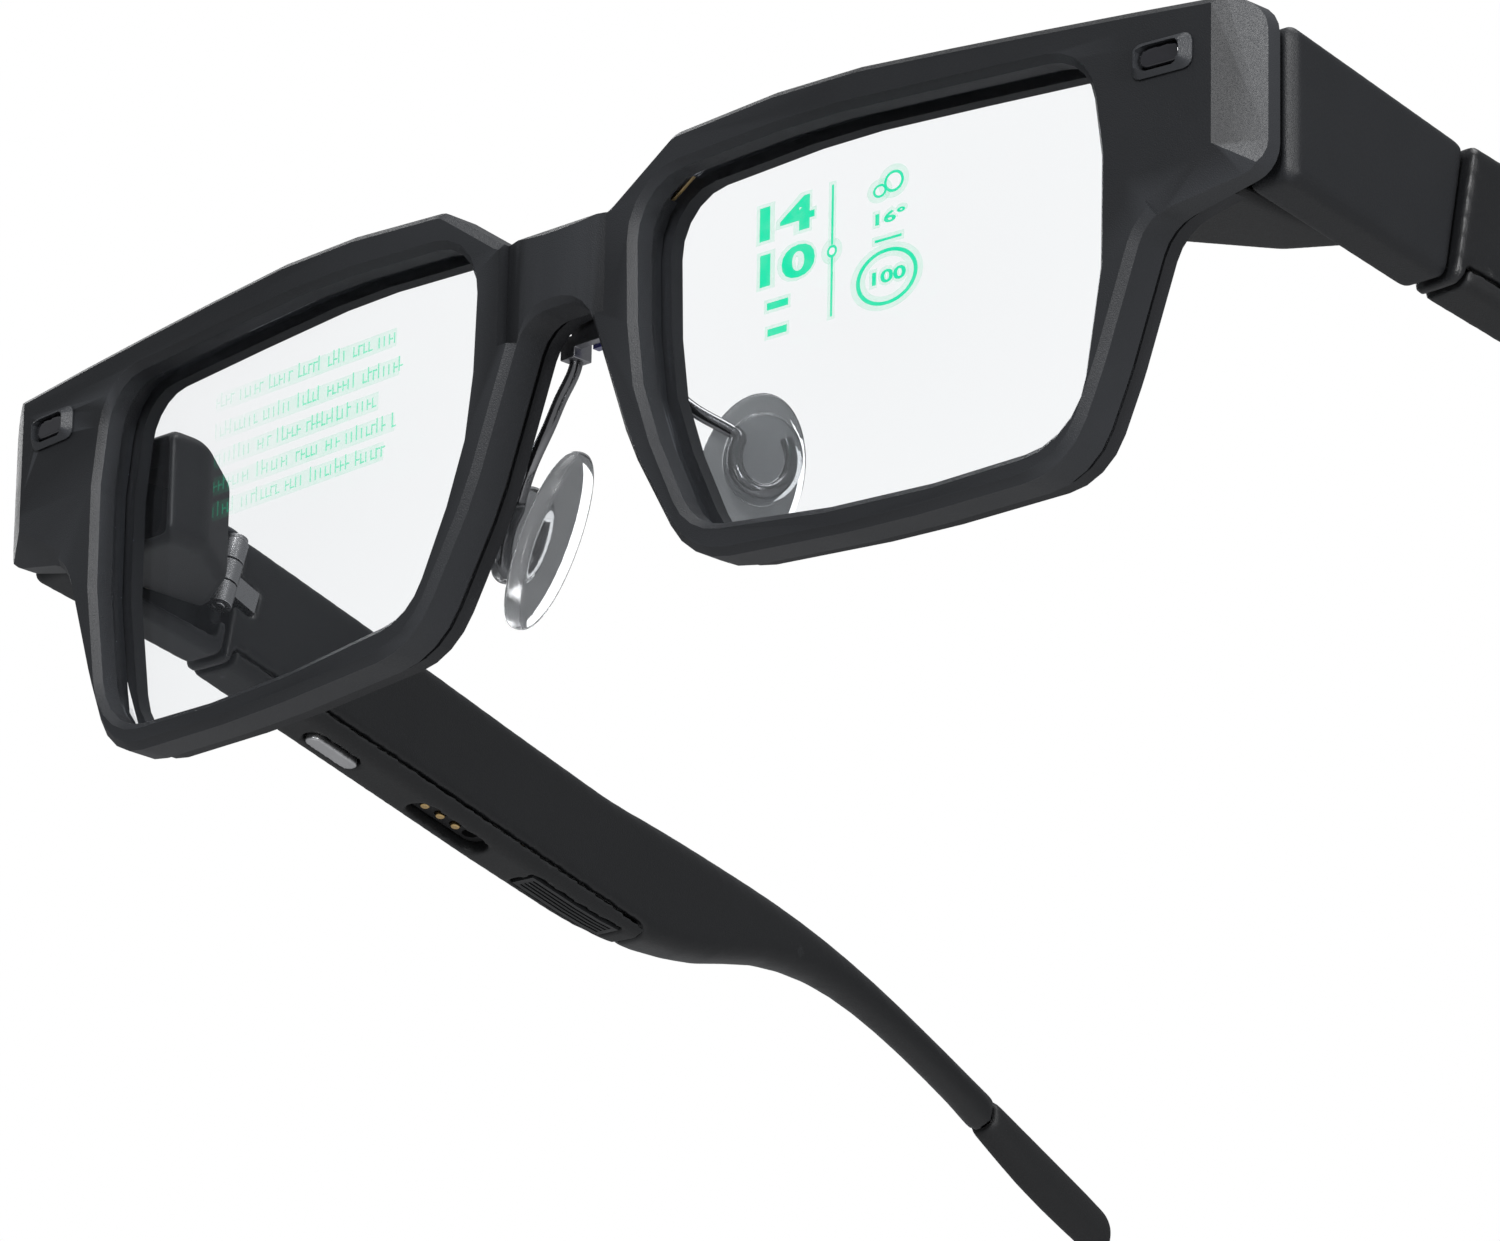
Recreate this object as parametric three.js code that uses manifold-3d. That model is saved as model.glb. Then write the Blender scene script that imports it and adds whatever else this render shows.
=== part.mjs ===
// Smart glasses with a display in each lens: a bent front frame with two lenses and their waveguides,
// a light engine and its housing behind each end piece, nose pads on wires, and two folding temples
// that hold the boards, cells, speakers, a push button and a charging port.
//
// Millimetres. +X is the wearer's left, +Y points to the back of the head and +Z points up.
// The face is drawn flat in X and Z and bent afterwards; "depth" is counted backwards from its front.

import * as THREE from 'three';
import Module from 'manifold-3d';
import { mergeVertices } from 'three/addons/utils/BufferGeometryUtils.js';
import { TessellateModifier } from 'three/addons/modifiers/TessellateModifier.js';

const wasm = await Module();
wasm.setup();

// ---------------------------------------------------------------- driving dimensions
const clearance = 0.3;            // gap kept between neighbouring pieces
const beyond = 2;                 // how far a cutting body runs past what it cuts

const faceRadius = 600;           // bend of the whole front, seen from above
const halfWidth = 70.0;           // centre line to the outer side of the end piece
const lensHalfWidth = 23.8;       // half of the lens opening's width
const lensCentreX = 32.6;         // centre line to the middle of a lens
const lensTop = 3.6;
const lensBottom = -29.6;
const rimTop = 7.0;
const rimBottom = -31.7;
const peakX = 12.9;               // centre line to the peak where the rim's top starts
const bridgeTop = 1.7;
const bridgeUnder = -5.4;
const bridgeHalf = 6.0;           // half width of the bridge between its two notches
const bridgeDip = 1.1;            // how far the bridge lies behind the rims where it meets them
const endPieceTop = 3.7;
const endPieceBottom = -9.9;
const frameDepth = 4.1;
const frameBevel = 0.6;
const sideChamfer = 3.5;          // width of the big chamfer round the end piece
const sideChamferDepth = 2.15;

const lensSeat = 2.2;             // depth at which the lens seat starts
const lensSeatWidth = 0.8;        // how far the seat reaches past the lens opening
const stackGap = 0.12;            // between the layers of the lens stack
const lensThickness = 1.0;
const guideThickness = 0.8;
const rearThickness = 1.3;
const rearInset = 0.6;

const sensorX = 62.1;             // middle of the sensor windows
const sensorZ = 0;
const sensorLength = 5.6;
const sensorHeight = 2.9;
const sensorRise = 0.9;
const windowLength = 3.6;
const windowHeight = 1.5;
const windowThickness = 0.6;
const sensorModuleDepth = 2.2;

const flexWidth = 0.7;
const flexThickness = 0.3;

const pitch = THREE.MathUtils.degToRad(10.9);   // temples slope down to the ears
const hingeTilt = THREE.MathUtils.degToRad(6.5);  // how much further the hinge pin leans back
const splay = THREE.MathUtils.degToRad(5.1);    // and open outwards
const hingeX = 65.4;
const hingeY = 26.6;
const hingeZ = -6;
const pinRadius = 0.5;
const pinFit = 0.08;
const knuckleRadius = 1.1;
const knuckleHeight = 2.0;
const leafThickness = 0.8;
const leafLength = 8;
const hingeGap = 0.4;             // slot between housing and temple
const hingeSetback = 1.7;         // hinge axis to the end of the housing
const barrelNotch = 1.6;          // half size of the notch round the barrel

const housingWall = 1.0;
const housingFront = 8.55;
const housingTopFront = 2.5;
const housingBottomFront = -10.3;
const engineTop = -0.2;
const engineBottom = -10.2;
const engineInnerX = 53.2;
const engineWall = 0.9;
const engineBevel = 0.9;

const templeThickness = 5.0;
const templeTop = 4.9;
const templeBottom = -7.05;
const templeStraight = 52;        // length of the straight, deep part
const templeLength = 132.5;       // hinge axis to the tip
const sleeveStart = 112;
const neckStart = 86;
const coreRadius = 0.6;
const templeWall = 1.0;
const coverThickness = 1.35;
const coverEnd = 60;
const pocketTop = 3.2;

const buttonAt = 19.2;
const buttonLength = 6.4;
const buttonWidth = 1.9;
const buttonProud = 0.35;
const buttonTravel = 0.4;
const portAt = 35;
const portLength = 9.8;
const portWidth = 2.9;
const portDepth = 0.9;
const contactPitch = 2.1;
const contactRadius = 0.45;
const contactCount = 3;
const grilleStart = 45.6;
const grilleEnd = 57.6;
const grilleWidth = 2.4;
const grilleSlots = 4;
const grilleRim = 0.6;
const slitWidth = 0.22;
const speakerTop = -1.4;
const cellLength = 22;
const cellLow = -3.6;
const boardTop = 2.8;             // top of the boards and cells in a temple
const boardThickness = 0.8;

const padLength = 17;
const padWidth = 8.6;
const padThickness = 1.6;
const bossLength = 9.6;
const bossWidth = 7.2;
const bossThickness = 2.3;
const wireRadius = 0.55;
const padCentre = new THREE.Vector3(11.2, 11.6, -19.5);
const bossCentre = new THREE.Vector3(13.6, 10.5, -18.8);
const padLongAxis = new THREE.Vector3(0.08, -0.38, -0.92);

// ---------------------------------------------------------------- solids and shapes
const X = new THREE.Vector3(1, 0, 0);
const Y = new THREE.Vector3(0, 1, 0);
const Z = new THREE.Vector3(0, 0, 1);

function bare(geometry) {
  const copy = geometry.clone();
  copy.deleteAttribute('normal');
  copy.deleteAttribute('uv');
  return mergeVertices(copy, 1e-4);
}

function solid(geometry) {
  const merged = bare(geometry);
  const mesh = new wasm.Mesh({
    numProp: 3,
    vertProperties: new Float32Array(merged.attributes.position.array),
    triVerts: new Uint32Array(merged.index.array),
  });
  return new wasm.Manifold(mesh);
}

function geometryOf(body) {
  const mesh = body.getMesh();
  const geometry = new THREE.BufferGeometry();
  geometry.setAttribute('position', new THREE.BufferAttribute(new Float32Array(mesh.vertProperties), 3));
  geometry.setIndex(new THREE.BufferAttribute(new Uint32Array(mesh.triVerts), 1));
  return geometry;
}

// An outline through corners [x, y, radius], each corner rounded by an arc.
function rounded(corners, step = 15) {
  const points = [];
  corners.forEach(([x, y, radius = 0], i) => {
    const [px, py] = corners[(i + corners.length - 1) % corners.length];
    const [nx, ny] = corners[(i + 1) % corners.length];
    const corner = new THREE.Vector2(x, y);
    if (radius === 0) {
      points.push(corner);
      return;
    }
    const back = new THREE.Vector2(px - x, py - y);
    const ahead = new THREE.Vector2(nx - x, ny - y);
    const room = Math.min(back.length(), ahead.length()) * 0.49;
    back.normalize();
    ahead.normalize();
    const half = Math.acos(THREE.MathUtils.clamp(back.dot(ahead), -1, 1)) / 2;
    const setback = Math.min(radius / Math.tan(half), room);
    const r = setback * Math.tan(half);
    const middle = back.clone().add(ahead).normalize().multiplyScalar(r / Math.sin(half)).add(corner);
    const start = back.multiplyScalar(setback).add(corner).sub(middle);
    const end = ahead.multiplyScalar(setback).add(corner).sub(middle);
    const sweep = Math.atan2(start.cross(end), start.dot(end));
    const count = Math.max(1, Math.ceil(Math.abs(THREE.MathUtils.radToDeg(sweep)) / step - 1e-6));
    for (let k = 0; k <= count; k++) {
      points.push(start.clone().rotateAround(new THREE.Vector2(), (sweep * k) / count).add(middle));
    }
  });
  return points;
}

// Moves an outline's corners outwards by a distance (inwards if it is negative); radii follow.
function grown(corners, distance) {
  const area = THREE.ShapeUtils.area(corners.map(([x, y]) => new THREE.Vector2(x, y)));
  const turn = Math.sign(area);
  return corners.map(([x, y, radius = 0], i) => {
    const [px, py] = corners[(i + corners.length - 1) % corners.length];
    const [nx, ny] = corners[(i + 1) % corners.length];
    const a = new THREE.Vector2(x - px, y - py).normalize();
    const b = new THREE.Vector2(nx - x, ny - y).normalize();
    const outward = new THREE.Vector2(a.y + b.y, -a.x - b.x).normalize().multiplyScalar(turn);
    const miter = distance / Math.max(0.3, outward.dot(new THREE.Vector2(a.y, -a.x).multiplyScalar(turn)));
    const bulge = Math.sign(a.cross(b)) * turn;
    const r = radius === 0 ? 0 : Math.max(0.2, radius + distance * bulge);
    return [x + outward.x * miter, y + outward.y * miter, r];
  });
}

function mirrored(corners) {
  return corners.map(([x, y, r]) => [-x, y, r]).reverse();
}

// An outline pushed along Z; both ends are bevelled inwards, or outwards if the inset is negative.
function extruded(outline, depth, bevel, inset = bevel) {
  const clockwise = THREE.ShapeUtils.isClockWise(outline);
  const shape = new THREE.Shape(clockwise ? [...outline].reverse() : outline);
  const geometry = new THREE.ExtrudeGeometry(shape, {
    depth: depth - 2 * bevel,
    steps: 1,
    bevelEnabled: bevel > 0,
    bevelThickness: bevel,
    bevelSize: inset,
    bevelOffset: -inset,
    bevelSegments: 1,
  });
  return geometry.translate(0, 0, bevel);
}

// A plate of the face: outline in X and Z, from one depth to another.
function plate(outline, from, to, { bevel = 0, holes = [] } = {}) {
  const turned = new THREE.Matrix4().makeBasis(X, Z, Y.clone().negate());
  turned.setPosition(0, to, 0);
  const slab = (shape, inset) => solid(extruded(shape, to - from, bevel, inset).applyMatrix4(turned));
  return holes.reduce((body, hole) => body.subtract(slab(hole, -bevel)), slab(outline, bevel));
}

// A prism along X with its outline in Y and Z.
function prismX(outline, from, to, bevel = 0) {
  const turned = new THREE.Matrix4().makeBasis(Y, Z, X);
  return solid(extruded(outline, to - from, bevel).applyMatrix4(turned).translate(from, 0, 0));
}

// A prism along Z with its outline in X and Y.
function prismZ(outline, from, to, bevel = 0) {
  return solid(extruded(outline, to - from, bevel).translate(0, 0, from));
}

function box(x0, x1, y0, y1, z0, z1) {
  const geometry = new THREE.BoxGeometry(x1 - x0, y1 - y0, z1 - z0);
  return solid(geometry.translate((x0 + x1) / 2, (y0 + y1) / 2, (z0 + z1) / 2));
}

function cylinder(radius, from, to, sides = 20) {
  const geometry = new THREE.CylinderGeometry(radius, radius, to - from, sides).rotateX(Math.PI / 2);
  return solid(geometry.translate(0, 0, (from + to) / 2));
}

function slotOutline(length, width) {
  const l = length / 2;
  const w = width / 2;
  return rounded([[-w, -l, w], [w, -l, w], [w, l, w], [-w, l, w]], 30);
}

function oval(length, width, count = 22) {
  return Array.from({ length: count }, (_, i) => {
    const angle = (2 * Math.PI * i) / count;
    return new THREE.Vector2((width / 2) * Math.cos(angle), (length / 2) * Math.sin(angle));
  });
}

function moved(body, x, y, z) {
  return solid(geometryOf(body).translate(x, y, z));
}

// A round tube along a smooth curve through points.
function tube(points, radius, steps, sides = 8) {
  const path = new THREE.CatmullRomCurve3(points, false, 'centripetal');
  const ring = Array.from({ length: sides }, (_, i) => {
    const angle = (2 * Math.PI * i) / sides;
    return new THREE.Vector2(radius * Math.cos(angle), radius * Math.sin(angle));
  });
  const options = { steps, extrudePath: path, bevelEnabled: false };
  return solid(new THREE.ExtrudeGeometry(new THREE.Shape(ring), options));
}

// A closed body through rings of points, all with the same count.
function loft(rings) {
  const count = rings[0].length;
  const positions = rings.flat().flatMap((p) => [p.x, p.y, p.z]);
  const index = [];
  for (let r = 0; r + 1 < rings.length; r++) {
    for (let i = 0; i < count; i++) {
      const a = r * count + i;
      const b = r * count + ((i + 1) % count);
      index.push(a, b, b + count, a, b + count, a + count);
    }
  }
  const last = (rings.length - 1) * count;
  for (let i = 1; i + 1 < count; i++) {
    index.push(0, i + 1, i, last, last + i, last + i + 1);
  }
  const geometry = new THREE.BufferGeometry();
  geometry.setAttribute('position', new THREE.Float32BufferAttribute(positions, 3));
  geometry.setIndex(index);
  return solid(geometry);
}

// Bends a flat-drawn piece of the face round the face radius.
const longestEdge = 16;
function bent(body) {
  const cut = new TessellateModifier(longestEdge, 12).modify(geometryOf(body).toNonIndexed());
  const position = cut.attributes.position;
  for (let i = 0; i < position.count; i++) {
    const x = position.getX(i);
    position.setY(i, position.getY(i) + bendAt(x));
  }
  return bare(cut);
}

function bendAt(x) {
  return (x * x) / (2 * faceRadius);
}

// ---------------------------------------------------------------- the object and its sides
const glasses = new THREE.Group();
const face = new THREE.Group();
glasses.add(face);

function finish(color, roughness, metalness = 0, opacity = 1) {
  return new THREE.MeshStandardMaterial({ color, roughness, metalness, opacity, transparent: opacity < 1 });
}

const finishes = {
  frame: finish('#32343a', 0.5),
  dark: finish('#141518', 0.6),
  shell: finish('#1a1b1d', 0.42),
  cover: finish('#26282b', 0.6),
  rubber: finish('#18191b', 0.8),
  lens: finish('#f4f6f7', 0.05, 0, 0.25),
  silicone: finish('#e6e8ea', 0.15, 0, 0.5),
  steel: finish('#b9bbbe', 0.25, 1),
  wire: finish('#6f7073', 0.2, 1),
  gold: finish('#c8a257', 0.3, 1),
  board: finish('#1d4a35', 0.6),
  cell: finish('#8d9196', 0.4, 0.6),
  trim: finish('#5a58a8', 0.3, 0.5),
};

function turnedOver(geometry) {
  const copy = bare(geometry);
  const index = copy.index.array;
  for (let i = 0; i < index.length; i += 3) {
    [index[i + 1], index[i + 2]] = [index[i + 2], index[i + 1]];
  }
  return copy;
}

function flipped(geometry) {
  return turnedOver(geometry).scale(-1, 1, 1);
}

// Adds a piece; a right-hand piece is the left-hand one mirrored.
function add(parent, name, body, material, side = 1) {
  const geometry = body instanceof THREE.BufferGeometry ? bare(body) : bare(geometryOf(body));
  parent.add(Object.assign(new THREE.Mesh(side < 0 ? flipped(geometry) : geometry, material), { name }));
}

const sides = [['left', 1], ['right', -1]];

// ---------------------------------------------------------------- outlines of the face
const lensLeft = lensCentreX - lensHalfWidth;
const lensRight = lensCentreX + lensHalfWidth;

const lensCorners = [
  [lensLeft, lensTop - 0.9, 5],
  [27, lensTop, 60],
  [lensRight - 1.7, lensTop - 1.5, 4.6],
  [lensRight + 0.2, -11, 30],
  [lensRight - 2.6, lensBottom + 0.8, 6],
  [35, lensBottom, 70],
  [15.8, lensBottom + 2, 5.5],
  [9.4, -14.5, 26],
];

const halfOutline = [
  [bridgeHalf, bridgeTop - 0.3, 1.2],
  [peakX, rimTop - 1, 2],
  [28, rimTop, 60],
  [halfWidth, endPieceTop, 2.8],
  [halfWidth, endPieceBottom, 2.6],
  [60.1, -12.4, 4],
  [56.4, -23.2, 20],
  [53.0, rimBottom + 0.5, 6.5],
  [35, rimBottom, 80],
  [15.4, rimBottom + 1.2, 8],
  [8.7, -19.2, 18],
  [3.5, bridgeUnder, 3.4],
];

const faceCorners = [...mirrored(halfOutline), ...halfOutline];
const faceOutline = rounded(faceCorners, 18);
const lensOutline = rounded(lensCorners, 18);
const lensOpenings = [lensOutline, rounded(mirrored(lensCorners), 18)];

function onBothSides(body) {
  return body.add(solid(flipped(bare(geometryOf(body)))));
}

// ---------------------------------------------------------------- front frame
// A wedge that cuts a chamfer outside the edge from a to b on the front of the face.
function chamferTool(a, b, width, depth) {
  const edge = new THREE.Vector3(b[0] - a[0], 0, b[1] - a[1]);
  const along = edge.clone().normalize();
  const outward = new THREE.Vector3().crossVectors(along, Y);
  const wedge = [[-width, -depth], [3 * width, -depth], [3 * width, 3 * depth]];
  const outline = wedge.map(([n, d]) => new THREE.Vector2(n, d));
  const length = edge.length() + sideChamfer;
  const geometry = extruded(outline, length, 0);
  const place = new THREE.Matrix4().makeBasis(outward, Y, along);
  place.setPosition(a[0] - along.x * sideChamfer, 0, a[1] - along.z * sideChamfer);
  return solid(turnedOver(geometry.applyMatrix4(place)));
}

// The front of the bridge is a shallow upright cylinder that meets both rims in a crease.
function bridgeTool() {
  const count = 12;
  const crown = [];
  for (let i = 0; i <= count; i++) {
    const share = (2 * i) / count - 1;
    crown.push(new THREE.Vector2(bridgeHalf * share, bridgeDip * share * share));
  }
  const ends = [bridgeHalf, -bridgeHalf].map((x) => new THREE.Vector2(x, -beyond));
  return prismZ([...crown, ...ends], bridgeUnder - beyond, rimTop + beyond);
}

const sensorBossCorners = [
  [sensorX - sensorLength / 2, sensorZ - sensorHeight / 2, 0.8],
  [sensorX + sensorLength / 2, sensorZ - sensorHeight / 2, 0.8],
  [sensorX + sensorLength / 2, sensorZ + sensorHeight / 2, 0.8],
  [sensorX - sensorLength / 2, sensorZ + sensorHeight / 2, 0.8],
];
const windowCorners = [
  [sensorX - windowLength / 2, sensorZ - windowHeight / 2, 0.6],
  [sensorX + windowLength / 2, sensorZ - windowHeight / 2, 0.6],
  [sensorX + windowLength / 2, sensorZ + windowHeight / 2, 0.6],
  [sensorX - windowLength / 2, sensorZ + windowHeight / 2, 0.6],
];

const windowHole = rounded(grown(windowCorners, clearance), 30);
const moduleCorners = grown(windowCorners, 0.9);
const moduleFrom = windowThickness + 2 * clearance;

const flexZ = rimTop - 1.4;
const flexEnd = sensorX - sensorLength / 2 - 2;
const flexDepth = frameDepth - 0.6;
function flexOutline(extra) {
  const half = [
    [flexEnd + extra, 3.9],
    [28, flexZ],
    [peakX + 1, flexZ - 0.6],
    [bridgeHalf - 0.1, bridgeTop - 1.8],
  ];
  const run = [...half, ...half.map(([x, z]) => [-x, z]).reverse()];
  const reach = flexWidth / 2 + extra;
  const upper = run.map(([x, z]) => new THREE.Vector2(x, z + reach));
  const lower = run.map(([x, z]) => new THREE.Vector2(x, z - reach)).reverse();
  return [...upper, ...lower];
}

const lensFront = lensSeat + stackGap;
const guideFront = lensFront + lensThickness + stackGap;
const rearFront = frameDepth + clearance;
const rearBack = rearFront + rearThickness;

function frontFrame() {
  const sideEdge = halfWidth - sideChamfer;
  const lowEdge = endPieceBottom + 1.9;
  const corner = [sideEdge, lowEdge - sideChamfer];
  const cuts = chamferTool([sideEdge, rimTop], corner, sideChamfer, sideChamferDepth)
    .add(chamferTool([sideEdge, lowEdge], [60.4, -11.2], sideChamfer, sideChamferDepth))
    .add(plate(windowHole, -beyond, frameDepth + beyond))
    .add(plate(rounded(moduleCorners, 30), moduleFrom, frameDepth + beyond))
    .add(plate(rounded(grown(lensCorners, lensSeatWidth), 18), lensSeat, frameDepth + beyond));
  const boss = plate(rounded(sensorBossCorners, 30), -sensorRise, frameBevel, { bevel: 0.7 });
  return plate(faceOutline, 0, frameDepth, { bevel: frameBevel, holes: lensOpenings })
    .add(onBothSides(boss))
    .subtract(onBothSides(cuts))
    .subtract(bridgeTool())
    .subtract(plate(flexOutline(stackGap), flexDepth - clearance, frameDepth + beyond));
}

// Room beside the ring's upper part for the light engine, above rearStep and outside rearEnd.
const rearEnd = lensRight + 1.3;
const rearStep = engineBottom - clearance;

function rearFrame() {
  const outline = rounded(grown(faceCorners, -rearInset), 18);
  const ring = plate(outline, rearFront, rearBack, { holes: lensOpenings });
  const endRoom = box(rearEnd, halfWidth + beyond, 0, rearBack + beyond, rearStep, rimTop + beyond);
  return ring.subtract(onBothSides(endRoom.add(screwHole())));
}

// ---------------------------------------------------------------- bridge bracket
const bracketHalf = 3.6;
const bracketThickness = 0.8;
const bracketTop = -0.9;
const bracketLow = -6.4;
const bracketFront = rearBack + clearance;
const bracketBack = bracketFront + bracketThickness;
const tabWidth = 1.6;
const tabDepth = 2.0;
const tabLow = -7.3;
const tabHeight = 1.9;
const tabX = bracketHalf - 0.4;
const screwX = 2.0;
const screwZ = -2.4;
const screwRadius = 0.5;
const screwHeadRadius = 0.85;

function acrossDepth(radius, from, to) {
  return solid(new THREE.CylinderGeometry(radius, radius, to - from, 14).translate(0, (from + to) / 2, 0));
}

function screwHole() {
  const hole = acrossDepth(screwRadius + clearance, rearFront - beyond, bracketBack + beyond);
  return moved(hole, screwX, 0, screwZ);
}

function screw() {
  const head = acrossDepth(screwHeadRadius, bracketBack + 0.1, bracketBack + 0.6);
  const slot = box(-beyond, beyond, bracketBack + 0.4, bracketBack + beyond, -0.12, 0.12);
  const shank = acrossDepth(screwRadius, rearFront + 0.2, bracketBack + 0.2);
  return moved(head.subtract(slot).add(shank), screwX, 0, screwZ);
}

function bracket() {
  const body = box(-bracketHalf, bracketHalf, bracketFront, bracketBack, bracketLow, bracketTop);
  const tab = box(tabX, tabX + tabWidth, bracketFront, bracketFront + tabDepth, tabLow, tabLow + tabHeight);
  return body.add(onBothSides(tab)).subtract(onBothSides(screwHole()));
}

const wearBack = bracketBack + clearance;
const wearWindow = box(-2.2, 2.2, wearBack, wearBack + 0.7, bracketLow - 0.2, bracketLow + 0.9);

// ---------------------------------------------------------------- nose pads on their wires
const padLong = padLongAxis.clone().normalize();
const padNormal = bossCentre.clone().sub(padCentre).projectOnPlane(padLong).normalize();
const padAcross = new THREE.Vector3().crossVectors(padLong, padNormal).normalize();
const bossReach = bossCentre.distanceTo(padCentre);

function padPlate(outline, from, to, bevel) {
  const turned = new THREE.Matrix4().makeBasis(padAcross, padLong, padNormal);
  const placed = turned.setPosition(padCentre.clone().addScaledVector(padNormal, from));
  return solid(extruded(outline, to - from, bevel).applyMatrix4(placed));
}

function wirePoints() {
  const startX = tabX + tabWidth / 2;
  const startY = bracketFront + tabDepth / 2;
  const lead = [
    new THREE.Vector3(startX, startY, tabLow - clearance),
    new THREE.Vector3(startX, startY, tabLow - 1),
    new THREE.Vector3(5.8, startY - 0.1, -9.6),
    new THREE.Vector3(6.5, 6.9, -12),
    new THREE.Vector3(9.2, 7.2, -14.8),
  ];
  const loop = [];
  const count = 10;
  for (let i = 0; i <= count; i++) {
    const angle = THREE.MathUtils.degToRad(-28 + (262 * i) / count);
    loop.push(bossCentre.clone()
      .addScaledVector(padAcross, 2.3 * Math.cos(angle))
      .addScaledVector(padLong, 3.2 * Math.sin(angle)));
  }
  return [...lead, ...loop];
}

function nosePad() {
  const disc = padPlate(oval(padLength, padWidth), -padThickness / 2, padThickness / 2, 0.4);
  const boss = padPlate(oval(bossLength, bossWidth), 0, bossReach + bossThickness / 2, 0.4);
  return disc.add(boss).subtract(tube(wirePoints(), wireRadius + clearance, 34, 6));
}

// ---------------------------------------------------------------- hinge frame
// Temples and hinge leaves are drawn with X across, Y along the temple and Z up, from the hinge axis.
// Knuckles and leaves lean back by the hinge tilt as well.
function hingeGroup(side) {
  const group = new THREE.Group();
  group.position.set(side * hingeX, hingeY, hingeZ);
  group.rotation.set(-pitch, 0, -side * splay, 'ZXY');
  return group;
}

function leant(body) {
  return solid(geometryOf(body).rotateX(-hingeTilt));
}

function fromHinge(body) {
  const group = hingeGroup(1);
  group.updateMatrix();
  return solid(geometryOf(leant(body)).applyMatrix4(group.matrix));
}

function hingePoint(along, up) {
  const turned = new THREE.Vector3(0, along, up).applyAxisAngle(X, -pitch);
  return turned.add(new THREE.Vector3(hingeX, hingeY, hingeZ));
}

const knuckleGap = 0.2;
const stackHalf = 1.5 * knuckleHeight + knuckleGap;
const templeInner = 0.6;
const templeStart = hingeSetback + hingeGap;

const leafX = 0.4;
const armEnd = templeStart + 2.4;
const pinBore = cylinder(pinRadius + pinFit, -beyond * 3, beyond * 3, 24);

function hingeFixed() {
  const barrel = cylinder(knuckleRadius, -stackHalf, stackHalf, 24);
  const leaf = box(leafX, leafX + leafThickness, -leafLength, 0, 0.5 - stackHalf, stackHalf - 0.5);
  const room = knuckleHeight / 2 + knuckleGap;
  const notch = box(-beyond, beyond, -knuckleRadius - clearance, beyond, -room, room);
  return barrel.add(leaf).subtract(notch).subtract(pinBore);
}

function hingeMoving() {
  const half = knuckleHeight / 2;
  const innerLeaf = templeInner + templeWall + clearance;
  const leafEdge = 2.6;
  const arm = box(leafX, leafX + leafThickness, 0, armEnd, -half, half);
  const step = box(leafX, innerLeaf + leafThickness, armEnd - 0.9, armEnd, -half, half);
  const leafLast = templeStart + leafLength;
  const leaf = box(innerLeaf, innerLeaf + leafThickness, armEnd - 0.9, leafLast, -leafEdge, leafEdge);
  return cylinder(knuckleRadius, -half, half, 24).add(arm).add(step).add(leaf).subtract(pinBore);
}

function hingePin() {
  return cylinder(pinRadius, -stackHalf - 0.1, stackHalf + 0.4, 24)
    .add(cylinder(knuckleRadius - 0.15, stackHalf + 0.15, stackHalf + 0.5, 24));
}

// ---------------------------------------------------------------- end piece housing and engine
const housingInner = hingeX + 0.2;
const housingOuter = halfWidth + 0.4;

function housingOutline(inset) {
  const top = hingePoint(hingeSetback, templeTop);
  const low = hingePoint(hingeSetback, templeBottom);
  const corners = [
    [housingFront, housingBottomFront, 0.8],
    [low.y, low.z, 1],
    [top.y, top.z, 1],
    [housingFront, housingTopFront, 0.8],
  ];
  return rounded(grown(corners, -inset), 30);
}

function housing() {
  const room = housingOutline(housingWall + 0.3);
  const pocket = prismX(room, housingInner - beyond, housingOuter - housingWall);
  const notchHalf = stackHalf + 0.5 + clearance;
  const notch = box(-beyond, barrelNotch, -barrelNotch, beyond + hingeSetback, -notchHalf, notchHalf);
  const block = prismX(housingOutline(0), housingInner, housingOuter, 0.7);
  return block.subtract(pocket).subtract(fromHinge(notch));
}

const engineOuter = housingInner - clearance;
const coverFront = housingFront + 0.3;
const coverStep = lensRight + 1.7;

function engineCover() {
  const outline = rounded([
    [engineInnerX, coverFront],
    [coverStep, coverFront],
    [coverStep, coverFront - 0.9],
    [engineOuter, coverFront - 0.9],
    [engineOuter, hingeY - 2.6],
    [engineOuter - 1.7, hingeY - 3.2, 1.5],
    [engineInnerX + 5.7, hingeY - 6, 2.5],
    [engineInnerX + 0.2, coverFront + 4.2, 3],
  ], 20);
  const inner = rounded([
    [engineInnerX + engineWall, coverFront - beyond],
    [engineOuter + beyond, coverFront - beyond],
    [engineOuter + beyond, hingeY - 3.8],
    [engineOuter - 1.8, hingeY - 4.3, 1],
    [engineInnerX + 6.3, hingeY - 6.8, 2],
    [engineInnerX + 0.3 + engineWall, coverFront + 3.8, 2.4],
  ], 20);
  return prismZ(outline, engineBottom, engineTop, engineBevel)
    .subtract(prismZ(inner, engineBottom + engineWall, engineTop - engineWall));
}

const engineX = engineOuter - 5.6;
function lightEngine() {
  const lensBarrel = solid(new THREE.CylinderGeometry(1.9, 1.9, 1.4, 20).translate(0, 0.7, 0));
  const block = box(engineX, engineOuter - 0.6, coverFront + 2.6, coverFront + 7.8, -8.6, -3);
  return block.add(moved(lensBarrel, engineX + 2.6, coverFront + 1.4, -5.8));
}

function couplingPrism() {
  const outline = rounded([
    [engineInnerX + 1.5, coverFront + 0.2],
    [engineX - 0.5, coverFront + 0.2],
    [engineX - 0.5, coverFront + 3.4],
  ]);
  return prismZ(outline, -8.2, -3.4);
}

const boardX = housingInner + 1.8;
const engineBoard = box(boardX, boardX + boardThickness, housingFront + 2.2, hingeY - 6.4, -8.4, -1.8);

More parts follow.
